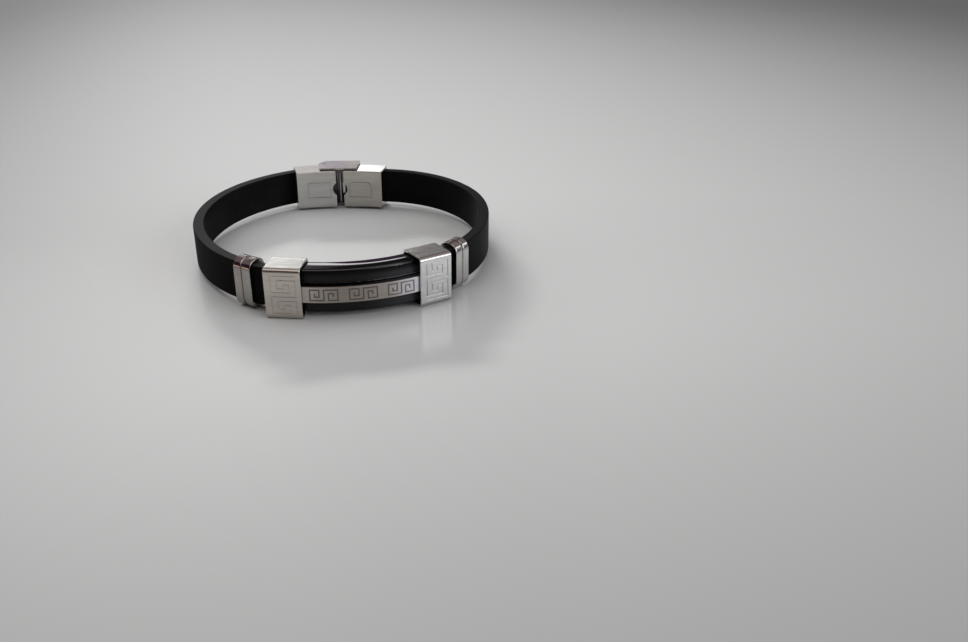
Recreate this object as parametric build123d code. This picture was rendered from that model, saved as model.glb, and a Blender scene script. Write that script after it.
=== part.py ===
from build123d import *
import math
import os

# Rubber strap bracelet with steel fittings, lying on its edge.
# Millimetres. Z is up, across the strap's height. The bar faces -Y and the clasp lies at +Y.
# The plan is laid out round the bar: y = 0 on the chord between the sleeves' inner front corners.
# Headings are in degrees, counter-clockwise from +X, and the loop is followed counter-clockwise:
# bar, right sleeve, right strap, clasp, left strap, left sleeve.

# Rubber strap
strap_height = 9.0
strap_thickness = 2.5
strap_edge_radius = 0.35
strap_fit = 0.06
strap_mouth_radius = 8.0

# Loop
clasp_distance = 70.0
clasp_offset = 4.05
clasp_turn = -10.6
right_reach = 36.3
right_reach_from_front = 41.6
left_reach = 33.3
left_reach_from_front = 38.1
turn_at_right_sleeve = 14.0
turn_at_left_sleeve = 17.0
turn_at_right_cap = -6.0
turn_at_left_cap = 15.0

# Curved bar with a raised rib
front_radius = 38.5
bar_turn = 38.8
bar_face_inset = 2.0
bar_insert = 2.4
bar_fit = 0.25
bar_front_round = 0.7
bar_back_round = 0.4
bar_to_strap_gap = 0.3
rib_groove_width = 0.35
rib_groove_depth = 0.6

# Steel strip on the rib
strip_height = 3.65
strip_thickness = 0.5
strip_fit = 0.15
strip_drop = 0.2
strip_edge_chamfer = 0.08
strip_key_count = 3
strip_key_pitch = 8.5
strip_key_shift = 0.15
strip_key_width = 5.9
strip_key_height = 2.4

# Steel sleeves at the ends of the bar
sleeve_length = 7.9
sleeve_depth = 7.5
sleeve_wall = 0.5
sleeve_room_over_strap = 0.75
sleeve_room_behind_strap = 1.15
sleeve_bore_radius = 0.4
sleeve_mouth_chamfer = 0.1
sleeve_key_width = 5.3
sleeve_key_height = 8.5
sleeve_key_shift = 0.25

# Engraved lines
engraved_width = 0.28
engraved_depth = 0.12

# Ridge bands
band_length = 4.7
band_wall = 0.6
band_room_over_strap = 0.55
band_room_beside_strap = 0.65
band_lean = 0.2
band_end_flat = 0.4
band_groove_width = 0.6
band_groove_depth = 0.3
band_edge_round = 0.25
band_gap_right = 2.6
band_gap_left = 3.1

# Clasp caps
clasp_inner_radius = 46.0
clasp_length = 23.3
clasp_gap = 2.1
cap_depth = 6.7
cap_wall_over_strap = 0.65
cap_wall_behind_strap = 0.79
cap_end_round = 1.0
cap_edge_chamfer = 0.2
cap_grip = 1.6
notch_radius = 2.0
notch_depth = 3.4
stamp_height = 4.6
stamp_width = 6.6
stamp_line = 0.4
stamp_depth = 0.15
stamp_round = 1.6
stamp_inset = 1.3

# Catch pin and the lugs that hold it
catch_pin_radius = 0.5
catch_pin_depth = 2.3
lug_height = 0.8
lug_side = 0.5
lug_tip_gap = 0.15
pin_fit = 0.02

# Cover, hinged on the left cap
cover_clearance = 0.1
cover_flange = 0.5
cover_wall = 0.6
cover_ear_margin = 1.1
cover_catch_reach = 4.6
cover_standoff = 1.9
cover_inner_edge = 1.2
cover_plate_start = 2.5
cover_corner_cut = 2.3
cover_edge_round = 0.3
hinge_distance = 4.2
hinge_to_cap_back = 1.3
hinge_pin_radius = 0.6
hinge_fit = 0.05
hinge_pin_end_inset = 0.1
tab_thickness = 0.6
tab_width = 3.0
tab_reach = 1.6
tab_pin_gap = 0.2
tab_slot_gap = 0.3

# How far a cutting shape runs past what it cuts
cut_past = 1.0

# Sizes that follow from the ones above
sleeve_height = strap_height + 2 * (sleeve_room_over_strap + sleeve_wall)
bar_height = sleeve_height - 2 * (sleeve_wall + bar_fit)
bar_back_inset = sleeve_depth - sleeve_wall - bar_fit
strip_inset = sleeve_wall + strip_fit
band_height = strap_height + 2 * (band_room_over_strap + band_wall)
band_depth = strap_thickness + 2 * (band_room_beside_strap + band_wall)
cap_height = strap_height + 2 * cap_wall_over_strap
cover_height = cap_height + 2 * (cover_clearance + cover_flange)
cover_hinge_reach = hinge_distance + cover_ear_margin
hinge_depth = cap_depth - hinge_to_cap_back
tab_outer_reach = catch_pin_radius + tab_pin_gap + tab_thickness
strap_depth_in_sleeve = sleeve_depth - sleeve_wall - sleeve_room_behind_strap - strap_thickness / 2
strap_depth_in_cap = cap_depth - cap_wall_behind_strap - strap_fit - strap_thickness / 2
middle_z = sleeve_height / 2
strip_middle_z = middle_z - strip_drop


# Plan geometry

def along(heading):
    return Vector(math.cos(math.radians(heading)), math.sin(math.radians(heading)))


def inward(heading):
    return along(heading + 90)


class Run:
    """A straight stretch of the strap's centre line."""

    def __init__(self, start, heading, length):
        self.start = start
        self.heading = heading
        self.length = length

    def heading_at(self, share):
        return self.heading

    def point_at(self, share, shift=0.0):
        return self.start + along(self.heading) * (self.length * share) + inward(self.heading) * shift

    def edge(self, shift, reverse):
        ends = [self.point_at(0, shift), self.point_at(1, shift)]
        return Line(*(ends[::-1] if reverse else ends))


class Bend:
    """A circular stretch of the strap's centre line. It turns left, or right if turn is negative."""

    def __init__(self, start, heading, radius, turn):
        self.heading = heading
        self.turn = turn
        self.signed_radius = math.copysign(radius, turn)
        self.centre = start + inward(heading) * self.signed_radius
        self.length = radius * math.radians(abs(turn))

    def heading_at(self, share):
        return self.heading + self.turn * share

    def point_at(self, share, shift=0.0):
        return self.centre - inward(self.heading_at(share)) * (self.signed_radius - shift)

    def edge(self, shift, reverse):
        points = [self.point_at(share, shift) for share in (0, 0.5, 1)]
        return ThreePointArc(*(points[::-1] if reverse else points))


def bend_before(end, end_heading, radius, turn):
    """The bend that arrives at end with end_heading after it has turned by turn."""
    start_heading = end_heading - turn
    centre = end + inward(end_heading) * math.copysign(radius, turn)
    return Bend(centre - inward(start_heading) * math.copysign(radius, turn), start_heading, radius, turn)


def bend_to(start, heading, end):
    """The bend that leaves start with heading and passes through end."""
    chord = end - start
    half_turn = math.atan2(chord.dot(inward(heading)), chord.dot(along(heading)))
    radius = chord.length / (2 * math.sin(abs(half_turn)))
    return Bend(start, heading, radius, math.degrees(2 * half_turn))


def smooth_join(start, heading, end, end_heading):
    """Two bends that meet smoothly and join two points with the given headings."""
    chord = end - start
    tangents = along(heading) + along(end_heading)
    a = 2 * (along(heading).dot(along(end_heading)) - 1)
    b = -2 * chord.dot(tangents)
    c = chord.dot(chord)
    reach = (-b - math.sqrt(b * b - 4 * a * c)) / (2 * a)
    meeting = (start + along(heading) * reach + end - along(end_heading) * reach) * 0.5
    first = bend_to(start, heading, meeting)
    return [first, bend_to(meeting, first.heading_at(1), end)]


def frame_at(path, distance):
    """The frame on a path at a distance from its start: x along the path, y inward, z up."""
    for piece in path:
        if distance <= piece.length:
            break
        distance -= piece.length
    share = distance / piece.length
    return frame(piece.point_at(share), piece.heading_at(share))


def frame(point, heading):
    return Plane(origin=point, x_dir=along(heading), z_dir=(0, 0, 1))


def path_face(path, half_width):
    """The plan of a path with a width."""
    outer = [piece.edge(-half_width, False) for piece in path]
    inner = [piece.edge(half_width, True) for piece in reversed(path)]
    far_end = Line(outer[-1] @ 1, inner[0] @ 0)
    near_end = Line(inner[-1] @ 1, outer[0] @ 0)
    return make_face(Wire([*outer, far_end, *inner, near_end]))


def upright(plan, height):
    """A plan extruded to a height that is centred on the bracelet's middle."""
    return Pos(0, 0, middle_z - height / 2) * extrude(plan, amount=height, dir=(0, 0, 1))


# Front of the bracelet: bar, strip and sleeves lie on one circle

half_bar_turn = bar_turn / 2
front_centre = Vector(0, front_radius * math.cos(math.radians(half_bar_turn)))
sleeve_heading = {"right": half_bar_turn, "left": -half_bar_turn}
sleeve_side = {"right": 1, "left": -1}


def front_angle(length):
    return math.degrees(length / front_radius)


def front_ring(section, turn):
    """A section in radius and height, revolved round the front circle's centre."""
    ring = revolve(Plane.XZ * section, axis=Axis.Z, revolution_arc=turn)
    return Pos(front_centre) * Rot(0, 0, -90 - turn / 2) * ring


def section_box(outer_radius, depth, height, level):
    return Pos(outer_radius - depth / 2, level) * Rectangle(depth, height)


rib_radius = front_radius - strip_inset - strip_thickness
bar_face_radius = front_radius - bar_face_inset


def make_bar():
    body = section_box(bar_face_radius, bar_back_inset - bar_face_inset, bar_height, middle_z)
    by_radius = body.vertices().sort_by(Axis.X)
    body = fillet(by_radius[:2], bar_back_round)
    body = fillet(body.vertices().sort_by(Axis.X)[-2:], bar_front_round)
    rib_depth = rib_radius - bar_face_radius + rib_groove_depth
    rib = section_box(rib_radius, rib_depth, strip_height, strip_middle_z)
    grooves = section_box(rib_radius, rib_depth, strip_height + 2 * rib_groove_width, strip_middle_z)
    turn = bar_turn + 2 * front_angle(bar_insert)
    return front_ring(body - grooves + rib, turn)


# One pair of key spirals: columns 0 to 6 from left to right, rows 0 to 3 from the top down
strip_key = [(1, 1), (1, 2), (2, 2), (2, 0), (0, 0), (0, 3), (3, 3),
             (3, 0), (6, 0), (6, 3), (4, 3), (4, 1), (5, 1), (5, 2)]
# One spiral of the sleeve's key: columns 0 to 4 from left to right, rows 0 to 4 from the top down
sleeve_spiral = [(4, 0), (0, 0), (0, 4), (3, 4), (3, 2), (2, 2), (2, 3), (1, 3), (1, 1), (4, 1)]
spiral_rows = 5
sleeve_key = [(column, row + level * spiral_rows) for level in (0, 1) for column, row in sleeve_spiral]
sleeve_key.append((4, 2 * spiral_rows - 1))


def key_lines(key, width, height):
    """A key pattern as a face of constant line width, centred on its own middle."""
    columns = max(column for column, row in key)
    rows = max(row for column, row in key)
    corners = [((column / columns - 0.5) * width, (0.5 - row / rows) * height) for column, row in key]
    return trace(Polyline(*corners), engraved_width)


def make_strip():
    radius = front_radius - strip_inset
    section = section_box(radius, strip_thickness, strip_height, strip_middle_z)
    section = chamfer(section.vertices().sort_by(Axis.X)[-2:], strip_edge_chamfer)
    turn = bar_turn + 2 * front_angle(bar_insert)
    strip = front_ring(section, turn)
    cut_section = section_box(radius + engraved_depth, 2 * engraved_depth, strip_height, strip_middle_z)
    cut_zone = front_ring(cut_section, turn)
    key = key_lines(strip_key, strip_key_width, strip_key_height)
    face_out = Plane(origin=(0, 0, 0), x_dir=(1, 0, 0), z_dir=(0, -1, 0))
    prism = extrude(face_out * key, amount=front_radius)
    for index in range(strip_key_count):
        offset = (index - (strip_key_count - 1) / 2) * strip_key_pitch + strip_key_shift
        tool = Pos(front_centre + Vector(0, 0, strip_middle_z)) * Rot(0, 0, front_angle(offset)) * prism
        strip -= tool & cut_zone
    return strip


def sleeve_frame(side):
    """Middle of a sleeve's front face, at mid height: x along the loop, y inward."""
    heading = sleeve_heading[side]
    mouth = front_centre - inward(heading) * front_radius
    return frame(mouth + along(heading) * (sleeve_side[side] * sleeve_length / 2), heading)


def rounded_block(length, depth, height, corner):
    """A straight block along x with rounded long edges, centred on the origin."""
    return extrude(Plane.YZ.offset(-length / 2) * RectangleRounded(depth, height, corner), amount=length)


def make_sleeve(side):
    tube = rounded_block(sleeve_length, sleeve_depth, sleeve_height, sleeve_bore_radius + sleeve_wall)
    tube -= rounded_block(sleeve_length, sleeve_depth - 2 * sleeve_wall, sleeve_height - 2 * sleeve_wall,
                          sleeve_bore_radius)
    mouths = tube.faces().filter_by(Axis.X).edges()
    tube = Pos(0, sleeve_depth / 2, 0) * chamfer(mouths, sleeve_mouth_chamfer)
    key = key_lines(sleeve_key, sleeve_key_width, sleeve_key_height)
    if side == "right":
        key = Rot(0, 0, 180) * key
    face_in = Plane(origin=(0, 0, 0), x_dir=(1, 0, 0), z_dir=(0, -1, 0))
    tube -= extrude(face_in * Pos(sleeve_key_shift, 0) * key, amount=-engraved_depth)
    return sleeve_frame(side).location * Pos(0, 0, middle_z) * tube


# Back of the bracelet: the clasp is curved round its own centre

clasp_heading = 180 + clasp_turn
clasp_middle = Vector(clasp_offset, clasp_distance)
clasp_frame = frame(clasp_middle, clasp_heading)
cap_outer_radius = clasp_inner_radius + cap_depth
cap_end_angle = math.degrees(clasp_length / 2 / clasp_inner_radius)
cap_side = {"right": -1, "left": 1}


def clasp_point(reach, depth):
    """A plan point in the clasp's frame: reach along the loop, depth outward from its inner face."""
    angle = reach / clasp_inner_radius
    radius = clasp_inner_radius + depth
    return Vector(radius * math.sin(angle), clasp_inner_radius - radius * math.cos(angle))


def clasp_sector(inner_depth, outer_depth, start, end):
    """A curved plan in the clasp's frame, from one reach to another and one depth to another."""
    middle = (start + end) / 2
    edges = [
        ThreePointArc(*(clasp_point(reach, outer_depth) for reach in (start, middle, end))),
        Line(clasp_point(end, outer_depth), clasp_point(end, inner_depth)),
        ThreePointArc(*(clasp_point(reach, inner_depth) for reach in (end, middle, start))),
        Line(clasp_point(start, inner_depth), clasp_point(start, outer_depth)),
    ]
    return make_face(Wire(edges))


def nearest_vertex(plan, point):
    return min(plan.vertices(), key=lambda vertex: (Vector(vertex) - point).length)


def cap_end(side):
    """Where the strap's centre line enters a cap, and the cap's own heading there."""
    reach = cap_side[side] * clasp_length / 2
    point = clasp_frame.from_local_coords(clasp_point(reach, strap_depth_in_cap))
    return point, clasp_heading + cap_side[side] * cap_end_angle


def stamp_plan(side, margin):
    """The stamp's outline, drawn in by a margin. Only the right one has rounded upper corners."""
    plan = Rectangle(stamp_width - 2 * margin, stamp_height - 2 * margin)
    if side == "right":
        plan = fillet(plan.vertices().sort_by(Axis.Y)[-2:], stamp_round - margin)
    return plan


def stamp_cut(side):
    """The stamp's groove: its outline, cut into a thin skin of the cap's inner face."""
    middle = cap_side[side] * (clasp_gap / 2 + stamp_inset + stamp_width / 2)
    turn = math.degrees(middle / clasp_inner_radius)
    outline = stamp_plan(side, 0) - stamp_plan(side, stamp_line)
    face = Plane(origin=(0, 0, 0), x_dir=(-1, 0, 0), z_dir=(0, 1, 0)) * outline
    prism = extrude(face, amount=cap_depth / 2, both=True)
    prism = Pos(clasp_point(middle, 0)) * Rot(0, 0, turn) * prism
    half = stamp_width / 2 + stamp_line
    skin = upright(clasp_sector(-stamp_depth, stamp_depth, middle - half, middle + half), cap_height)
    return skin & Pos(0, 0, middle_z) * prism


def make_cap(side, strap_path):
    sign = cap_side[side]
    end = sign * clasp_length / 2
    plan = clasp_sector(0, cap_depth, *sorted((sign * clasp_gap / 2, end)))
    plan = fillet(nearest_vertex(plan, clasp_point(end, cap_depth)), cap_end_round)
    cap = upright(plan, cap_height)
    rims = cap.faces().filter_by(Axis.Z).edges()
    cap = chamfer(rims, cap_edge_chamfer)
    notch = Plane(origin=(0, 0, middle_z), x_dir=(1, 0, 0), z_dir=(0, -1, 0)) * Circle(notch_radius)
    cap -= extrude(notch, amount=notch_depth) + extrude(notch, amount=-notch_depth)
    cap -= stamp_cut(side)
    if side == "right":
        cap = cap - tab_slot() + lugs() - catch_bore(catch_pin_radius + pin_fit)
    else:
        cap -= hinge_bore(hinge_pin_radius + pin_fit, cap_height)
    pocket = upright(path_face(strap_path, strap_thickness / 2 + strap_fit), strap_height + 2 * strap_fit)
    return clasp_frame.location * cap - pocket


def tab_slot():
    """Room in the right cap for the cover's tab as it swings out."""
    tip = math.hypot(hinge_distance + tab_outer_reach, hinge_depth - tab_reach)
    furthest = hinge_distance - tip - tab_slot_gap
    plan = clasp_sector(tab_reach - tab_slot_gap, cap_depth + cut_past, furthest, 0)
    return upright(plan, tab_width + 2 * tab_slot_gap)


def lugs():
    half = catch_pin_radius + lug_side
    tip = clasp_gap / 2 - lug_tip_gap
    plan = clasp_sector(catch_pin_depth - half, catch_pin_depth + half, -clasp_gap, tip)
    block = upright(plan, cap_height)
    return block - upright(plan, cap_height - 2 * lug_height)


def upright_cylinder(reach, depth, radius, height):
    return upright(Pos(clasp_point(reach, depth)) * Circle(radius), height)


def catch_bore(radius):
    return upright_cylinder(0, catch_pin_depth, radius, cap_height)


def hinge_bore(radius, height):
    return upright_cylinder(hinge_distance, hinge_depth, radius, height)


def make_cover():
    outer_depth = cap_depth + cover_standoff
    plan = clasp_sector(cover_inner_edge, outer_depth, -cover_catch_reach, cover_hinge_reach)
    corner = nearest_vertex(plan, clasp_point(cover_hinge_reach, outer_depth))
    plan = chamfer(corner, cover_corner_cut)
    cover = upright(plan, cover_height)
    arcs = cover.edges().filter_by(GeomType.CIRCLE)
    cover = fillet(arcs.filter_by(lambda edge: edge.radius > cap_outer_radius), cover_edge_round)
    room = cover_height - 2 * cover_flange
    inside = clasp_sector(0, outer_depth - cover_wall, -clasp_length, clasp_length)
    cover -= upright(inside, room)
    ear_gap = clasp_sector(0, outer_depth + cut_past, cover_plate_start, clasp_length)
    cover -= upright(ear_gap, room)
    cover -= hinge_bore(hinge_pin_radius + hinge_fit, cover_height)
    tab_inner = catch_pin_radius + tab_pin_gap
    tab = clasp_sector(tab_reach, outer_depth - cover_wall / 2, -tab_outer_reach, -tab_inner)
    return clasp_frame.location * (cover + upright(tab, tab_width))


def make_hinge_pin():
    return clasp_frame.location * hinge_bore(hinge_pin_radius, cover_height - 2 * hinge_pin_end_inset)


def make_catch_pin():
    return clasp_frame.location * catch_bore(catch_pin_radius)


# Straps

def sleeve_exit(side):
    """Where the strap's centre line leaves a sleeve."""
    reach = sleeve_side[side] * sleeve_length / 2
    return sleeve_frame(side).from_local_coords((reach, strap_depth_in_sleeve))


def straight_grip(turn):
    """Length of strap that lies straight inside a sleeve, up to the end of the bar."""
    mouth_run = strap_mouth_radius * math.sin(math.radians(turn))
    return sleeve_length - bar_insert - bar_to_strap_gap - mouth_run


def right_strap_path():
    departure = half_bar_turn + turn_at_right_sleeve
    mouth = bend_before(sleeve_exit("right"), departure, strap_mouth_radius, turn_at_right_sleeve)
    grip_length = straight_grip(turn_at_right_sleeve)
    root = mouth.point_at(0) - along(half_bar_turn) * grip_length
    widest = Vector(right_reach, right_reach_from_front)
    cap_point, cap_heading = cap_end("right")
    arrival = cap_heading - turn_at_right_cap
    cap_mouth = Bend(cap_point, arrival, strap_mouth_radius, turn_at_right_cap)
    grip = [Run(root, half_bar_turn, grip_length), mouth]
    free = [*smooth_join(sleeve_exit("right"), departure, widest, 90),
            *smooth_join(widest, 90, cap_point, arrival)]
    held = [cap_mouth, Run(cap_mouth.point_at(1), cap_heading, cap_grip)]
    return grip, free, held


def left_strap_path():
    cap_point, cap_heading = cap_end("left")
    departure = cap_heading + turn_at_left_cap
    cap_mouth = bend_before(cap_point, departure, strap_mouth_radius, turn_at_left_cap)
    root = cap_mouth.point_at(0) - along(cap_heading) * cap_grip
    widest = Vector(-left_reach, left_reach_from_front)
    sleeve_turn = 360 - half_bar_turn
    arrival = sleeve_turn - turn_at_left_sleeve
    mouth = Bend(sleeve_exit("left"), arrival, strap_mouth_radius, turn_at_left_sleeve)
    held = [Run(root, cap_heading, cap_grip), cap_mouth]
    free = [*smooth_join(cap_point, departure, widest, 270),
            *smooth_join(widest, 270, sleeve_exit("left"), arrival)]
    grip = [mouth, Run(mouth.point_at(1), sleeve_turn, straight_grip(turn_at_left_sleeve))]
    return held, free, grip


def make_strap(path):
    strap = upright(path_face(path, strap_thickness / 2), strap_height)
    rims = strap.faces().filter_by(Axis.Z).edges()
    return fillet(rims, strap_edge_radius)


def band_block(length, margin):
    """A band's block, drawn in all round by a margin. Its ends keep one flat width."""
    depth = band_depth - 2 * margin
    return rounded_block(length, depth, band_height - 2 * margin, (depth - band_end_flat) / 2)


def make_band(place):
    """Two ridges on a thinner core with one bore. It stands on the table and leans on the strap."""
    band = band_block(band_length, band_groove_depth)
    ridge_length = (band_length - band_groove_width) / 2
    ridge = band_block(ridge_length, 0)
    ridge = fillet(ridge.faces().filter_by(Axis.X).edges(), band_edge_round)
    for sign in (-1, 1):
        band += Pos(sign * (band_length - ridge_length) / 2, 0, 0) * ridge
    band -= band_block(band_length, band_wall)
    return place.location * Pos(0, band_lean, band_height / 2) * band


grip_right, free_right, held_right = right_strap_path()
held_left, free_left, grip_left = left_strap_path()
band_middle_right = band_gap_right + band_length / 2
band_middle_left = sum(piece.length for piece in free_left) - band_gap_left - band_length / 2

nodes = {
    "bar": make_bar(),
    "strip": make_strip(),
    "sleeve_right": make_sleeve("right"),
    "sleeve_left": make_sleeve("left"),
    "strap_right": make_strap(grip_right + free_right + held_right),
    "strap_left": make_strap(held_left + free_left + grip_left),
    "ridge_band_right": make_band(frame_at(free_right, band_middle_right)),
    "ridge_band_left": make_band(frame_at(free_left, band_middle_left)),
    "clasp_cap_right": make_cap("right", free_right[-1:] + held_right),
    "clasp_cap_left": make_cap("left", held_left + free_left[:1]),
    "clasp_cover": make_cover(),
    "hinge_pin": make_hinge_pin(),
    "catch_pin": make_catch_pin(),
}

# The origin is moved to the middle of the bracelet's box, at the bottom
boxes = [shape.bounding_box() for shape in nodes.values()]
middle_x = (min(box.min.X for box in boxes) + max(box.max.X for box in boxes)) / 2
middle_y = (min(box.min.Y for box in boxes) + max(box.max.Y for box in boxes)) / 2
to_origin = Pos(-middle_x, -middle_y, -min(box.min.Z for box in boxes))

os.makedirs("parts", exist_ok=True)
for name, shape in nodes.items():
    export_step(to_origin * shape, f"parts/{name}.step")
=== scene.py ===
import math

import bpy
from mathutils import Matrix, Vector


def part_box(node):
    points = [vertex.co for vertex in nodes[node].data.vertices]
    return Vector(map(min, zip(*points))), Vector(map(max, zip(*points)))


# Looks of the rubber bracelet, lying on its edge on a pale table. Metres, in the row frame:
# Z is up, the bar faces -Y and the clasp lies at +Y.

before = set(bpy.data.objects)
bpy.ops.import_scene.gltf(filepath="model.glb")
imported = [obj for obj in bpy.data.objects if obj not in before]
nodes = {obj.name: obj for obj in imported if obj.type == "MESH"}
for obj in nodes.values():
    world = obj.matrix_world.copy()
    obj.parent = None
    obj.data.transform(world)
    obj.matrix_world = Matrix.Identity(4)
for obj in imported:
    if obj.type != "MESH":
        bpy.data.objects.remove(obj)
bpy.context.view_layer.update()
MM = 0.001

# Sizes of the solids that the materials follow. The arcs of the front share one centre.
MIDDLE_HEIGHT = 5.75 * MM
FRONT_RADIUS = 38.5 * MM
STRIP_RADIUS = FRONT_RADIUS - 0.65 * MM
BAR_FACE_RADIUS = 36.5 * MM
BAR_HALF_TURN = math.radians(19.4)
UPPER_FACE_BOTTOM = 7.725 * MM
CLASP_INNER_RADIUS = 46.0 * MM

# The front's centre lies one radius behind the strip's foremost point
strip_low, strip_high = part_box("strip")
FRONT_CENTRE = Vector(((strip_low.x + strip_high.x) / 2, strip_low.y + STRIP_RADIUS, 0))

# The middle of the clasp's inner face, and the heading of the loop there
CLASP_MIDDLE = Vector((2.55, 31.25, 0)) * MM
CLASP_HEADING = math.radians(169.4)


# Node helpers. A constant that is passed on whole to a ramp holds its low, high, start and end, and
# one that is passed on to a band holds its low, high and soft.

def socket(value):
    """A node's first output, or the value itself."""
    return value.outputs[0] if isinstance(value, bpy.types.Node) else value


def opaque(colour):
    """A colour of three numbers with an alpha of 1. A socket stays as it is."""
    return (*colour, 1) if isinstance(colour, tuple) else colour


def grey(value):
    return (value, value, value)


def tinted(value, tint):
    return tuple(value * part for part in tint)


class Tree:
    """Adds nodes to a node tree. Values may be numbers, sockets or nodes."""

    def __init__(self, tree):
        self.tree = tree

    def feed(self, target, value):
        """Link a value to an input, or set the input to it."""
        source = socket(value)
        if isinstance(source, bpy.types.NodeSocket):
            self.tree.links.new(source, target)
        else:
            target.default_value = source

    def add(self, kind, inputs=None, **settings):
        node = self.tree.nodes.new(kind)
        for name, value in settings.items():
            setattr(node, name, value)
        for key, value in (inputs or {}).items():
            self.feed(node.inputs[key], value)
        return node

    def math(self, operation, first, second=0.0, third=0.0, clamp=False):
        inputs = {0: first, 1: second, 2: third}
        return self.add("ShaderNodeMath", inputs, operation=operation, use_clamp=clamp)

    def plus(self, first, second):
        return self.math("ADD", first, second)

    def minus(self, first, second):
        return self.math("SUBTRACT", first, second)

    def times(self, product, *factors):
        for factor in factors:
            product = self.math("MULTIPLY", product, factor)
        return product

    def times_plus(self, value, factor, extra):
        return self.math("MULTIPLY_ADD", value, factor, extra)

    def largest(self, first, second):
        return self.math("MAXIMUM", first, second)

    def size(self, value):
        return self.math("ABSOLUTE", value)

    def length(self, x, y):
        return self.math("SQRT", self.plus(self.times(x, x), self.times(y, y)))

    def mix(self, share, first, second):
        return self.times_plus(share, self.minus(second, first), first)

    def ramp(self, value, low, high, start=0.0, end=1.0):
        """A smooth step from start to end as value goes from low to high."""
        inputs = {"Value": value, "From Min": low, "From Max": high, "To Min": start, "To Max": end}
        return self.add("ShaderNodeMapRange", inputs, interpolation_type="SMOOTHSTEP")

    def band(self, value, low, high, soft):
        """1 between low and high, 0 outside, with soft edges."""
        rise = self.ramp(value, low - soft, low + soft)
        return self.times(rise, self.ramp(value, high - soft, high + soft, 1.0, 0.0))

    def blend(self, share, first, second):
        """A colour between two colours."""
        inputs = {0: share, 6: opaque(first), 7: opaque(second)}
        return self.add("ShaderNodeMix", inputs, data_type="RGBA").outputs[2]

    def blend_tints(self, share, first, second):
        """A tint between two tints, whose parts may be more than 1."""
        inputs = {0: share, 4: first, 5: second}
        return self.add("ShaderNodeMix", inputs, data_type="VECTOR").outputs[1]

    def spread(self, value, tints):
        """A tint that changes with value. tints lists places in millimetres and their tints."""
        places, colours = zip(*tints)
        tint = colours[0]
        for start, end, after in zip(places, places[1:], colours[1:]):
            tint = self.blend_tints(self.ramp(value, start * MM, end * MM), tint, after)
        return tint

    def noise(self, vector, scale, detail=3.0, roughness=0.5):
        inputs = {"Vector": vector, "Scale": scale, "Detail": detail, "Roughness": roughness}
        return self.add("ShaderNodeTexNoise", inputs)

    def placed(self, vector, origin=(0, 0, 0), turn=0.0, scale=(1, 1, 1)):
        """Coordinates in a frame with an origin, turned about Z, then scaled."""
        moved = self.add("ShaderNodeVectorMath", {0: vector, 1: origin}, operation="SUBTRACT")
        inputs = {"Vector": moved, "Angle": -turn}
        turned = self.add("ShaderNodeVectorRotate", inputs, rotation_type="Z_AXIS")
        return self.add("ShaderNodeVectorMath", {0: turned, 1: scale}, operation="MULTIPLY")

    def parts(self, vector):
        """A vector's x, y and z."""
        return self.add("ShaderNodeSeparateXYZ", {0: vector}).outputs


class Material(Tree):
    """A material with one principled shader."""

    def __init__(self, name, **values):
        self.material = bpy.data.materials.new(name)
        self.material.use_nodes = True
        super().__init__(self.material.node_tree)
        self.shader = self.tree.nodes["Principled BSDF"]
        for key, value in values.items():
            self.shader.inputs[key.replace("_", " ")].default_value = value
        self.place = self.add("ShaderNodeTexCoord").outputs["Object"]

    def upward(self):
        """How far a face looks up: 1 on top, 0 on upright faces, -1 underneath."""
        return self.parts(self.add("ShaderNodeNewGeometry").outputs["Normal"])[2]

    def drive(self, key, value):
        self.feed(self.shader.inputs[key], value)

    def relief(self, height, distance, edge=0.0):
        """Bump from a height, over edges that are rounded by a small radius."""
        inputs = {"Height": height, "Strength": 1.0, "Distance": distance}
        if edge:
            inputs["Normal"] = self.add("ShaderNodeBevel", {"Radius": edge}, samples=4)
        self.drive("Normal", self.add("ShaderNodeBump", inputs))

    def put_on(self, *names):
        for name in names:
            mesh = nodes[name].data
            mesh.materials.clear()
            mesh.materials.append(self.material)


# The middle of a noise's range, over which its contrast is spread
NOISE_MIDDLE = (0.3, 0.7)
NOISE_NARROW_MIDDLE = (0.35, 0.65)


# Silicone

GRAIN_SCALE = 5200.0
GRAIN_HEIGHT = 0.01 * MM
SILICONE_CLOUD_SCALE = 130.0
SILICONE_VARIATION = 0.2
SILICONE_ROUGHNESS = (0.52, 0.62)
DUST_SCALE = 1500.0
DUST_LEVEL = (0.735, 0.77)
DUST_SHARE = 0.3
DUST_COLOUR = grey(0.08)
NARROW_EDGE_FACING = (0.5, 0.9)
NARROW_EDGE_ROUGHER = 0.35


def silicone(name, tone, painted_light_edge_tone, index, sheen):
    """Matt black silicone: a fine grain, an uneven tone and a little dust. Its narrow edges are
    rougher than its broad faces, and painted paler as painted light."""
    look = Material(name, IOR=index, Sheen_Weight=sheen, Sheen_Roughness=0.4)
    grain = look.noise(look.place, GRAIN_SCALE, 2.0)
    cloud = look.noise(look.place, SILICONE_CLOUD_SCALE, 4.0)
    dust = look.noise(look.place, DUST_SCALE, 1.0)
    narrow = look.ramp(look.size(look.upward()), *NARROW_EDGE_FACING)
    dark, light = 1 - SILICONE_VARIATION, 1 + SILICONE_VARIATION
    patches = look.ramp(cloud, *NOISE_NARROW_MIDDLE)
    face = look.blend(patches, grey(tone * dark), grey(tone * light))
    # The narrow edges' paler tone is painted light, for the light that falls on them.
    edge = look.blend(cloud, grey(painted_light_edge_tone * dark), grey(painted_light_edge_tone * light))
    specks = look.times(look.ramp(dust, *DUST_LEVEL), DUST_SHARE)
    look.drive("Base Color", look.blend(specks, look.blend(narrow, face, edge), DUST_COLOUR))
    roughness = look.ramp(cloud, *NOISE_MIDDLE, *SILICONE_ROUGHNESS)
    look.drive("Roughness", look.times_plus(narrow, NARROW_EDGE_ROUGHER, roughness))
    look.relief(grain, GRAIN_HEIGHT)
    return look


# Black plating. Places along the bar are measured from its middle to the right.

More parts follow.
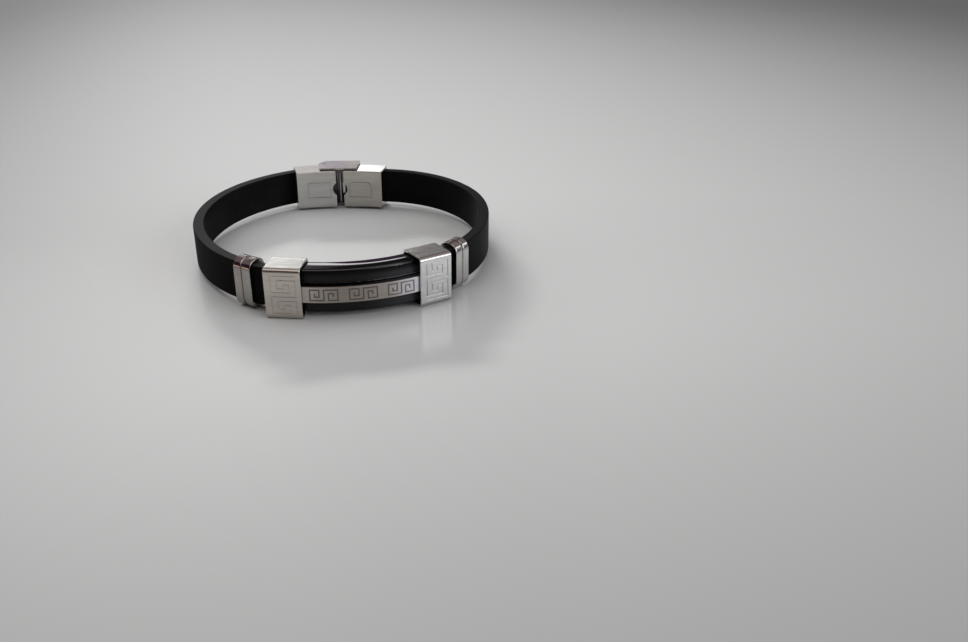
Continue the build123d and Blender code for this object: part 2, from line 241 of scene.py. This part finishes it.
BLACK = grey(0.002)
RIGHT_END_PAINTED_LIGHT = (0.038, 0.038, 0.045)
PAINTED_HIGHLIGHT_COLOUR = (0.36, 0.36, 0.41)
BAR_FACE_START = (BAR_FACE_RADIUS - 0.14 * MM, BAR_FACE_RADIUS - 0.04 * MM)
BAR_STREAK_SCALE = {"along": 60.0, "across": 9000.0}
BAR_STREAK_HEIGHT = 0.002 * MM
BAR_SPOT_SCALE = 1400.0
BAR_CLOUD_SCALE = 300.0
BAR_EDGE = 0.08 * MM
PAINTED_LIGHT_TO_THE_RIGHT = (-2.0 * MM, 14.0 * MM)
SHADE_NEAR_THE_TOP = (8.6 * MM, 10.1 * MM)
PAINTED_HIGHLIGHT_LINE = (-0.05 * MM, 0.09 * MM, 0.03 * MM)
HIGHLIGHT_SPOT_LEVEL = (0.4, 0.6)
MORE_HIGHLIGHT_TO_THE_RIGHT = (2.0 * MM, 12.0 * MM, 0.0, 0.2)
BRIGHTER_TO_THE_RIGHT = (-6.0 * MM, 6.0 * MM, 0.15, 0.8)

# Roughness, as its share of a noise and its least value, and index of refraction
GLOSSY_ROUGHNESS = (0.04, 0.03)
SATIN_ROUGHNESS = (0.14, 0.26)
GLOSSY_INDEX = (8.5 * MM, 12.5 * MM, 1.7, 1.25)
SATIN_INDEX = (1.36, 1.2)

# The bar's top is very slightly domed, more so to the right. It is level at this radius.
DOME_RADIUS = 34.5 * MM
DOME = (-9.0 * MM, 7.0 * MM, -18.5, -55.5)


def black_plating():
    """Black plated steel: glossy on top and satin on its two front faces. Bright spots along the
    lower edge of the upper face are a painted highlight."""
    look = Material("black_plating")
    x, y, z = look.parts(look.placed(look.place, FRONT_CENTRE))
    radius = look.length(x, y)
    along = look.times(look.math("ARCTAN2", x, look.times(y, -1.0)), FRONT_RADIUS)
    face = look.ramp(radius, *BAR_FACE_START)
    streak_place = look.add("ShaderNodeCombineXYZ", {
        0: look.times(along, BAR_STREAK_SCALE["along"]),
        1: look.times(z, BAR_STREAK_SCALE["across"]),
        2: look.times(radius, BAR_STREAK_SCALE["across"])})
    streaks = look.noise(streak_place, 1.0)
    spots = look.noise(look.place, BAR_SPOT_SCALE, 2.0)
    cloud = look.noise(look.place, BAR_CLOUD_SCALE)

    # The front faces are painted paler and bluish towards the right end: painted light from the
    # right.
    tone = look.blend(look.ramp(along, *PAINTED_LIGHT_TO_THE_RIGHT), BLACK, RIGHT_END_PAINTED_LIGHT)
    shade = look.ramp(z, *SHADE_NEAR_THE_TOP)
    tone = look.blend(shade, tone, BLACK)
    # Bright spots along the upper face's lower edge, brighter to the right: a painted highlight.
    line = look.band(look.minus(z, UPPER_FACE_BOTTOM), *PAINTED_HIGHLIGHT_LINE)
    highlight_spots = look.plus(spots, look.ramp(along, *MORE_HIGHLIGHT_TO_THE_RIGHT))
    painted_highlight = look.times(line, look.ramp(highlight_spots, *HIGHLIGHT_SPOT_LEVEL),
                      look.ramp(along, *BRIGHTER_TO_THE_RIGHT))
    tone = look.blend(painted_highlight, tone, PAINTED_HIGHLIGHT_COLOUR)
    look.drive("Base Color", look.blend(face, BLACK, tone))

    gloss = look.times_plus(cloud, *GLOSSY_ROUGHNESS)
    satin = look.times_plus(streaks, *SATIN_ROUGHNESS)
    look.drive("Roughness", look.mix(face, gloss, satin))
    glossy_index = look.ramp(along, *GLOSSY_INDEX)
    look.drive("IOR", look.mix(face, glossy_index, look.mix(shade, *SATIN_INDEX)))

    dome = look.math("POWER", look.minus(radius, DOME_RADIUS), 2.0)
    dome = look.times(dome, look.ramp(along, *DOME))
    fine = look.times(streaks, face, BAR_STREAK_HEIGHT)
    look.relief(look.plus(dome, fine), 1.0, BAR_EDGE)
    return look


# Steel

STREAK_SCALE = (90.0, 7000.0, 7000.0)
STREAK_HEIGHT = 0.003 * MM
STREAK_ROUGHNESS = 0.16
BROAD_STREAK_SCALE = (40.0, 1400.0, 1400.0)
BROAD_STREAK_VARIATION = 0.1
STEEL_CLOUD_SCALE = 260.0
STEEL_CLOUD_HEIGHT = 0.03 * MM
STEEL_CLOUD_ROUGHNESS = 0.06
ON_TOP_FACING = (0.6, 0.9)
PAINTED_SHADE_TONE = 0.3
ENGRAVED_ROUGHER = 0.2

SCRATCH_SCALE = (3000.0, 3000.0, 500.0)
SCRATCH_HEIGHT = 0.001 * MM
SCRATCH_ROUGHNESS = (0.07, 0.02)
POLISH_CLOUD_SCALE = 420.0
POLISH_VARIATION = 0.12
POLISHED_EDGE = 0.08 * MM


def brushed(name, turn, tone, rough, tint, tints=None, painted_light_top_tints=None, marks_painted_dark=None,
            edge=0.05 * MM):
    """Brushed steel with streaks along a heading. tints and painted_light_top_tints list tints by
    the place along x in millimetres, on upright faces and on top; the tints on top are painted
    light. marks_painted_dark gives a mask of etched lines and other marks, where the steel is
    rougher and painted darker as painted shade."""
    look = Material(name, Metallic=1.0)
    streaks = look.noise(look.placed(look.place, turn=turn, scale=STREAK_SCALE), 1.0, 4.0, 0.6)
    broad = look.noise(look.placed(look.place, turn=turn, scale=BROAD_STREAK_SCALE), 1.0)
    cloud = look.noise(look.place, STEEL_CLOUD_SCALE)
    x = look.parts(look.place)[0]
    colour = look.spread(x, tints or [(0, tint)])
    if painted_light_top_tints:
        # On top the steel takes other tints: painted light.
        on_top = look.ramp(look.upward(), *ON_TOP_FACING)
        colour = look.blend_tints(on_top, colour, look.spread(x, painted_light_top_tints))
    strength = look.ramp(broad, *NOISE_MIDDLE, tone * (1 - BROAD_STREAK_VARIATION), tone)
    scaled = {0: colour, "Scale": strength}
    colour = look.add("ShaderNodeVectorMath", scaled, operation="SCALE")
    roughness = look.times_plus(streaks, STREAK_ROUGHNESS, rough - STREAK_ROUGHNESS / 2)
    roughness = look.times_plus(cloud, STEEL_CLOUD_ROUGHNESS, roughness)
    # The mask's places are painted darker: painted shade, and painted dark reflection on sleeve
    # tops.
    if marks_painted_dark:
        mask = marks_painted_dark(look)
        colour = look.blend(mask, colour, tinted(tone * PAINTED_SHADE_TONE, tint))
        roughness = look.times_plus(mask, ENGRAVED_ROUGHER, roughness)
    look.drive("Base Color", colour)
    look.drive("Roughness", roughness)
    uneven = look.times(cloud, STEEL_CLOUD_HEIGHT)
    look.relief(look.times_plus(streaks, STREAK_HEIGHT, uneven), 1.0, edge)
    return look


def polished(name, tone, tint):
    """Polished steel with fine random scratches."""
    look = Material(name, Metallic=1.0)
    fine = look.noise(look.placed(look.place, scale=SCRATCH_SCALE), 1.0, 3.0, 0.6)
    cloud = look.ramp(look.noise(look.place, POLISH_CLOUD_SCALE), *NOISE_MIDDLE)
    darker = tinted(tone * (1 - POLISH_VARIATION), tint)
    look.drive("Base Color", look.blend(cloud, darker, tinted(tone, tint)))
    look.drive("Roughness", look.times_plus(fine, *SCRATCH_ROUGHNESS))
    look.relief(fine, SCRATCH_HEIGHT, POLISHED_EDGE)
    return look


# Masks of the lines on brushed steel, and of other places on it that are painted dark

# The strip: radii of its etched grooves
STRIP_GROOVE = (STRIP_RADIUS - 0.07 * MM, STRIP_RADIUS - 0.015 * MM, 0.8, 0.0)

# A sleeve: depths behind its front face, levels above and below its middle, heights over the table
KEY_DEPTH = (0.05 * MM, 0.4 * MM, 0.02 * MM)
KEY_LEVEL = (4.5 * MM, 4.6 * MM, 1.0, 0.0)
RIM_DEPTH = (0.2 * MM, 0.3 * MM, 0.7, 0.0)
RIM_LEVEL = (4.93 * MM, 5.03 * MM, 0.04 * MM)
TOP_DARK_REFLECTION_DEPTH = (2.4 * MM, 4.6 * MM, 1.2 * MM)
TOP_DARK_REFLECTION_HEIGHT = (11.4 * MM, 11.45 * MM)
TOP_DARK_REFLECTION_SCALE = (120.0, 2600.0, 0.0)

# The clasp: depths behind its inner face, and places along it and levels from its middle
STAMP_DEPTH = (0.07 * MM, 0.3 * MM, 0.03 * MM)
STAMP_PLACE = (1.9 * MM, 9.6 * MM, 0.1 * MM)
STAMP_LEVEL = (2.6 * MM, 2.8 * MM, 0.12, 0.0)
NOTCH_RADIUS = (2.02 * MM, 2.08 * MM, 1.0, 0.0)
GAP_PLACE = (1.06 * MM, 1.1 * MM, 1.0, 0.0)
OPENING_DEPTH = (0.05 * MM, 6.0 * MM, 0.05 * MM)


def strip_lines(look):
    """The strip's etched lines: what lies below its front face."""
    x, y, _ = look.parts(look.placed(look.place, FRONT_CENTRE))
    return look.ramp(look.length(x, y), *STRIP_GROOVE)


def sleeve_lines(heading, key_share, dark_reflection_share):
    """A sleeve's etched key, the fine lines along the top and bottom of its front face, and the
    streaks on its top, which are painted dark reflection."""
    face = FRONT_CENTRE + Vector((math.sin(heading), -math.cos(heading), 0)) * FRONT_RADIUS

    def mask(look):
        _, y, z = look.parts(look.placed(look.place, face, heading))
        level = look.size(look.minus(z, MIDDLE_HEIGHT))
        key = look.times(look.band(y, *KEY_DEPTH), look.ramp(level, *KEY_LEVEL), key_share)
        rim = look.times(look.band(level, *RIM_LEVEL), look.ramp(y, *RIM_DEPTH))
        etched = look.math("ADD", key, rim, clamp=True)
        # Streaks in the middle of the top: painted dark reflection.
        place = look.placed(look.place, face, heading, TOP_DARK_REFLECTION_SCALE)
        streaks = look.ramp(look.noise(place, 1.0, 4.0, 0.6), *NOISE_NARROW_MIDDLE)
        streaks = look.times(look.band(y, *TOP_DARK_REFLECTION_DEPTH), streaks,
                             look.ramp(z, *TOP_DARK_REFLECTION_HEIGHT))
        return look.math("MULTIPLY_ADD", streaks, dark_reflection_share, etched, clamp=True)
    return mask


def clasp_lines(look):
    """The caps' stamped outlines, and their notch and gap, whose sides are dull and painted dark
    as painted shade.
    """
    x, y, z = look.parts(look.placed(look.place, CLASP_MIDDLE, CLASP_HEADING))
    level = look.minus(z, MIDDLE_HEIGHT)
    radius = look.length(x, look.minus(CLASP_INNER_RADIUS, y))
    depth = look.minus(radius, CLASP_INNER_RADIUS)
    place = look.size(x)
    stamp = look.times(look.band(depth, *STAMP_DEPTH), look.band(place, *STAMP_PLACE),
                       look.ramp(look.size(level), *STAMP_LEVEL))
    # The notch and the gap between the caps are painted dark: painted shade.
    notch = look.ramp(look.length(x, level), *NOTCH_RADIUS)
    opening = look.largest(notch, look.ramp(place, *GAP_PLACE))
    return look.largest(stamp, look.times(opening, look.band(depth, *OPENING_DEPTH)))


# Materials on the nodes

# The strip's tints along it are painted light: warm at the left, brighter and bluish at the right.
STRIP_PAINTED_LIGHT_TINTS = [(-14, (0.82, 0.75, 0.68)), (-6, (0.56, 0.5, 0.45)), (3, (0.6, 0.55, 0.5)),
               (11, (1.16, 1.12, 1.2))]
# The cover's pinkish tints on top are a painted reflection of the room.
COVER_TOP_PAINTED_LIGHT_TINTS = [(-3, (0.76, 0.75, 0.75)), (-0.5, (0.58, 0.5, 0.59)), (4, (0.58, 0.51, 0.58)),
                   (7, (0.66, 0.66, 0.6))]

# The two straps are one silicone; their different tones are painted light and shade.
silicone("silicone_left", 0.009, 0.042, index=1.07, sheen=0.0).put_on("strap_left")
silicone("silicone_right", 0.005, 0.013, index=1.13, sheen=0.02).put_on("strap_right")
black_plating().put_on("bar")
# The two bands are one polished steel; their different tones and tints are painted light and shade.
polished("band_left_steel", 0.38, (1.0, 0.94, 0.88)).put_on("ridge_band_left")
polished("band_right_steel", 0.58, (1.0, 0.98, 0.95)).put_on("ridge_band_right")
brushed("strip_steel", 0.0, 0.66, 0.3, tint=(0.7, 0.65, 0.6), tints=STRIP_PAINTED_LIGHT_TINTS,
        marks_painted_dark=strip_lines, edge=0.08 * MM).put_on("strip")
# The sleeves are one brushed steel; their different tints are painted light and shade.
brushed("sleeve_left_steel", -BAR_HALF_TURN, 0.66, 0.17, tint=(0.9, 0.83, 0.75),
        painted_light_top_tints=[(0, (1.45, 1.47, 1.4))], marks_painted_dark=sleeve_lines(-BAR_HALF_TURN, 0.05, 0.12),
        edge=0.08 * MM).put_on("sleeve_left")
brushed("sleeve_right_steel", BAR_HALF_TURN, 0.66, 0.17, tint=(1.03, 1.03, 1.02),
        painted_light_top_tints=[(0, (1.25, 1.25, 1.2))], marks_painted_dark=sleeve_lines(BAR_HALF_TURN, 0.12, 0.6),
        edge=0.09 * MM).put_on("sleeve_right")
# The caps are one brushed steel; their different tints are painted light and shade.
brushed("cap_left_steel", CLASP_HEADING, 0.62, 0.28, tint=(1.0, 0.99, 0.95),
        marks_painted_dark=clasp_lines).put_on("clasp_cap_left")
brushed("cap_right_steel", CLASP_HEADING, 0.62, 0.14, tint=(0.78, 0.74, 0.67),
        painted_light_top_tints=[(0, (1.0, 1.02, 1.0))], marks_painted_dark=clasp_lines).put_on("clasp_cap_right")
brushed("cover_steel", CLASP_HEADING, 0.62, 0.26, tint=(1.0, 0.98, 0.95),
        painted_light_top_tints=COVER_TOP_PAINTED_LIGHT_TINTS).put_on("clasp_cover")
# The pins are painted darker than the caps: painted shade in the gap.
brushed("pin_steel", CLASP_HEADING, 0.4, 0.3,
        tint=(1.0, 0.985, 0.97)).put_on("hinge_pin", "catch_pin")


# Camera: where the photo was taken from

CAMERA_PLACE = Vector((-24.12, -222.35, 87.28)) * MM
CAMERA_HEADING = math.radians(15.1275)
CAMERA_PITCH = math.radians(25.829)
CAMERA_ROLL = math.radians(0.59)
CAMERA_LENS = 35.0
CAMERA_SENSOR = 36.0
CAMERA_CLIP_START = 5.0 * MM

camera_data = bpy.data.cameras.new("camera")
camera_data.lens = CAMERA_LENS
camera_data.sensor_width = CAMERA_SENSOR
camera_data.clip_start = CAMERA_CLIP_START
camera = bpy.data.objects.new("camera", camera_data)
bpy.context.scene.collection.objects.link(camera)
turn_right = Matrix.Rotation(-CAMERA_HEADING, 4, "Z")
look_down = Matrix.Rotation(math.radians(90) - CAMERA_PITCH, 4, "X")
roll = Matrix.Rotation(CAMERA_ROLL, 4, "Z")
camera.matrix_world = Matrix.Translation(CAMERA_PLACE) @ turn_right @ look_down @ roll
bpy.context.scene.camera = camera


# Table: its colour is painted lightest just in front of the bracelet and darker further off, a
# painted pool of light, and it is glossy in front of that. The rates say how fast it fades with the
# distance in metres.

TABLE_SIZE = 6.0
TABLE_ROUGHNESS = 0.16
TABLE_LIGHTEST = (0.69, 0.707, 0.702)
TABLE_FADED = (0.12, 0.122, 0.125)
LIGHTEST_X = -0.01
LIGHTEST_Y = -0.05
FADE_RATES_X = (1.5, -3.5)
FADE_RATES_Y = (1.1, -3.2)
FADE_REACH = (-0.3, 0.9)
TABLE_GLOSS = 0.28
GLOSS_Y = -0.085
GLOSS_RATE_X = 6.5
GLOSS_RATE_Y = 11.0
GLOSS_REACH = (0.3, 1.35, 1.0, 0.0)


def fade_from(look, value, origin, rates):
    """How far value has faded on its way from an origin, by a rate above it and one below it."""
    offset = look.minus(value, origin)
    above, below = rates
    return look.largest(look.times(offset, above), look.times(offset, below))


half = TABLE_SIZE / 2
corners = [(-half, -half, 0), (half, -half, 0), (half, half, 0), (-half, half, 0)]
table_mesh = bpy.data.meshes.new("table")
table_mesh.from_pydata(corners, [], [(0, 1, 2, 3)])
table = bpy.data.objects.new("table", table_mesh)
bpy.context.scene.collection.objects.link(table)
table_look = Material("table", Roughness=TABLE_ROUGHNESS)
table_x, table_y, _ = table_look.parts(table_look.place)
fade = table_look.length(fade_from(table_look, table_x, LIGHTEST_X, FADE_RATES_X),
                         fade_from(table_look, table_y, LIGHTEST_Y, FADE_RATES_Y))
fade = table_look.ramp(fade, *FADE_REACH)
# The colour fades from light to dark away from the bracelet: painted light.
table_look.drive("Base Color", table_look.blend(fade, TABLE_LIGHTEST, TABLE_FADED))
gloss_x = table_look.times(table_x, GLOSS_RATE_X)
gloss_y = table_look.times(table_look.minus(table_y, GLOSS_Y), GLOSS_RATE_Y)
gloss = table_look.ramp(table_look.length(gloss_x, gloss_y), *GLOSS_REACH)
table_look.drive("Specular IOR Level", table_look.times(gloss, TABLE_GLOSS))
table_mesh.materials.append(table_look.material)


# Light: a room of bright and dark areas that the steel and plating reflect, and two soft lamps.
# Angles are in degrees. Headings run from +Y towards +X, and heights from the horizon up.

# The room's shell, by the angle over its top: 0 at the far horizon, 90 overhead, 180 at the near one
FAR_HORIZON = (0.09, 0.055, 0.10)
FAR_WALL, FAR_WALL_START = (0.42, 0.40, 0.40), (11.0, 16.0)
CEILING, CEILING_START = (0.25, 0.20, 0.195), (22.0, 40.0)
NEAR_WALL, NEAR_WALL_START = (0.045, 0.03, 0.045), (124.0, 134.0)
NEAR_HORIZON, NEAR_HORIZON_START = (0.55, 0.45, 0.38), (171.0, 177.0)

# The bright area on the ceiling, which lies between two angles and between two values of x
CEILING_LAMP = (1.5, 1.45, 1.4)
CEILING_LAMP_ANGLE = (106.0, 122.0, 4.0)
CEILING_LAMP_X = (-0.5, 0.5, 0.1)

# What stands in the room, each over the ones before it: headings, heights and colour
ROOM_AREAS = [
    # a dark area high behind the bracelet
    ((3.5, 22.0, 3.0), (21.0, 75.0, 2.0), (0.035, 0.03, 0.033)),
    # at the left a dark purple wall, with a warm bright sill below it
    ((-125.0, -70.0, 8.0), (8.0, 34.0, 2.0), (0.045, 0.02, 0.04)),
    ((-125.0, -80.0, 6.0), (0.5, 6.0, 1.0), (1.4, 1.0, 0.75)),
    # at the right a dark purple wall, with a bright window above it and a larger one beside it
    ((60.0, 95.0, 4.0), (-20.0, 13.5, 1.5), (0.04, 0.025, 0.05)),
    ((62.0, 84.0, 4.0), (16.5, 29.0, 2.0), (1.9, 1.95, 2.0)),
    ((95.0, 160.0, 12.0), (6.0, 38.0, 5.0), (2.0, 2.05, 2.15)),
]

# The low bright window behind the bracelet, and the glow on the wall beside it
WINDOW_COLOUR = (1.0, 0.99, 0.98)
WINDOW_STRENGTH = 2.4
WINDOW_HEADING = (-1.5, 9.5, 1.5)
WINDOW_HEIGHT = (14.0, 19.0, 1.0)
GLOW_HEADING = -14.0
GLOW_HEIGHT = 25.0
GLOW_REACH = (6.0, 20.0, 0.5, 0.0)

# The camera sees a plain backdrop behind the table in place of the room
BACKDROP_COLOUR = (0.06, 0.06, 0.061)

world = bpy.data.worlds.new("room")
bpy.context.scene.world = world
world.use_nodes = True
room = Tree(world.node_tree)
x, y, z = room.parts(room.add("ShaderNodeTexCoord").outputs["Generated"])
degrees = 180 / math.pi
height = room.times(room.math("ARCSINE", z), degrees)
heading = room.times(room.math("ARCTAN2", x, y), degrees)
over = room.times(room.math("ARCTAN2", z, y), degrees)

colour = room.blend(room.ramp(over, *FAR_WALL_START), FAR_HORIZON, FAR_WALL)
colour = room.blend(room.ramp(over, *CEILING_START), colour, CEILING)
ceiling_lamp = room.times(room.band(over, *CEILING_LAMP_ANGLE), room.band(x, *CEILING_LAMP_X))
colour = room.blend(ceiling_lamp, colour, CEILING_LAMP)
colour = room.blend(room.ramp(over, *NEAR_WALL_START), colour, NEAR_WALL)
colour = room.blend(room.ramp(over, *NEAR_HORIZON_START), colour, NEAR_HORIZON)
for headings, heights, area_colour in ROOM_AREAS:
    area = room.times(room.band(heading, *headings), room.band(height, *heights))
    colour = room.blend(area, colour, area_colour)
walls = room.tree.nodes["Background"]
room.feed(walls.inputs["Color"], colour)
room.feed(walls.inputs["Strength"], 1.0)

glow = room.length(room.minus(heading, GLOW_HEADING), room.minus(height, GLOW_HEIGHT))
glow = room.ramp(glow, *GLOW_REACH)
window = room.times(room.band(heading, *WINDOW_HEADING), room.band(height, *WINDOW_HEIGHT))
shine = room.add("ShaderNodeBackground", {
    "Color": opaque(WINDOW_COLOUR), "Strength": room.times_plus(window, WINDOW_STRENGTH, glow)})
lit_room = room.add("ShaderNodeAddShader", {0: walls, 1: shine})

backdrop_inputs = {"Color": opaque(BACKDROP_COLOUR), "Strength": 1.0}
backdrop = room.add("ShaderNodeBackground", backdrop_inputs)
camera_ray = room.add("ShaderNodeLightPath").outputs["Is Camera Ray"]
seen = room.add("ShaderNodeMixShader", {0: camera_ray, 1: lit_room, 2: backdrop})
room.feed(room.tree.nodes["World Output"].inputs["Surface"], seen)


def area_light(name, heading, height, distance, width, depth, power, colour):
    """A soft light that points at the bracelet and isn't seen in its reflections."""
    data = bpy.data.lights.new(name, "AREA")
    data.shape = "RECTANGLE"
    data.size = width
    data.size_y = depth
    data.energy = power
    data.color = colour
    lamp = bpy.data.objects.new(name, data)
    heading, height = math.radians(heading), math.radians(height)
    direction = Vector((math.sin(heading) * math.cos(height),
                        math.cos(heading) * math.cos(height), math.sin(height)))
    lamp.location = direction * distance
    lamp.rotation_mode = "QUATERNION"
    lamp.rotation_quaternion = lamp.location.to_track_quat("Z", "Y")
    lamp.visible_glossy = False
    bpy.context.scene.collection.objects.link(lamp)


area_light("window_light", heading=-3.0, height=22.0, distance=1.2, width=0.4, depth=0.07,
           power=11.5, colour=(1.0, 0.99, 0.98))
area_light("room_light", heading=-35.0, height=62.0, distance=0.9, width=1.0, depth=1.0,
           power=4.8, colour=(0.98, 1.0, 1.0))

bpy.context.scene.view_settings.view_transform = "Standard"
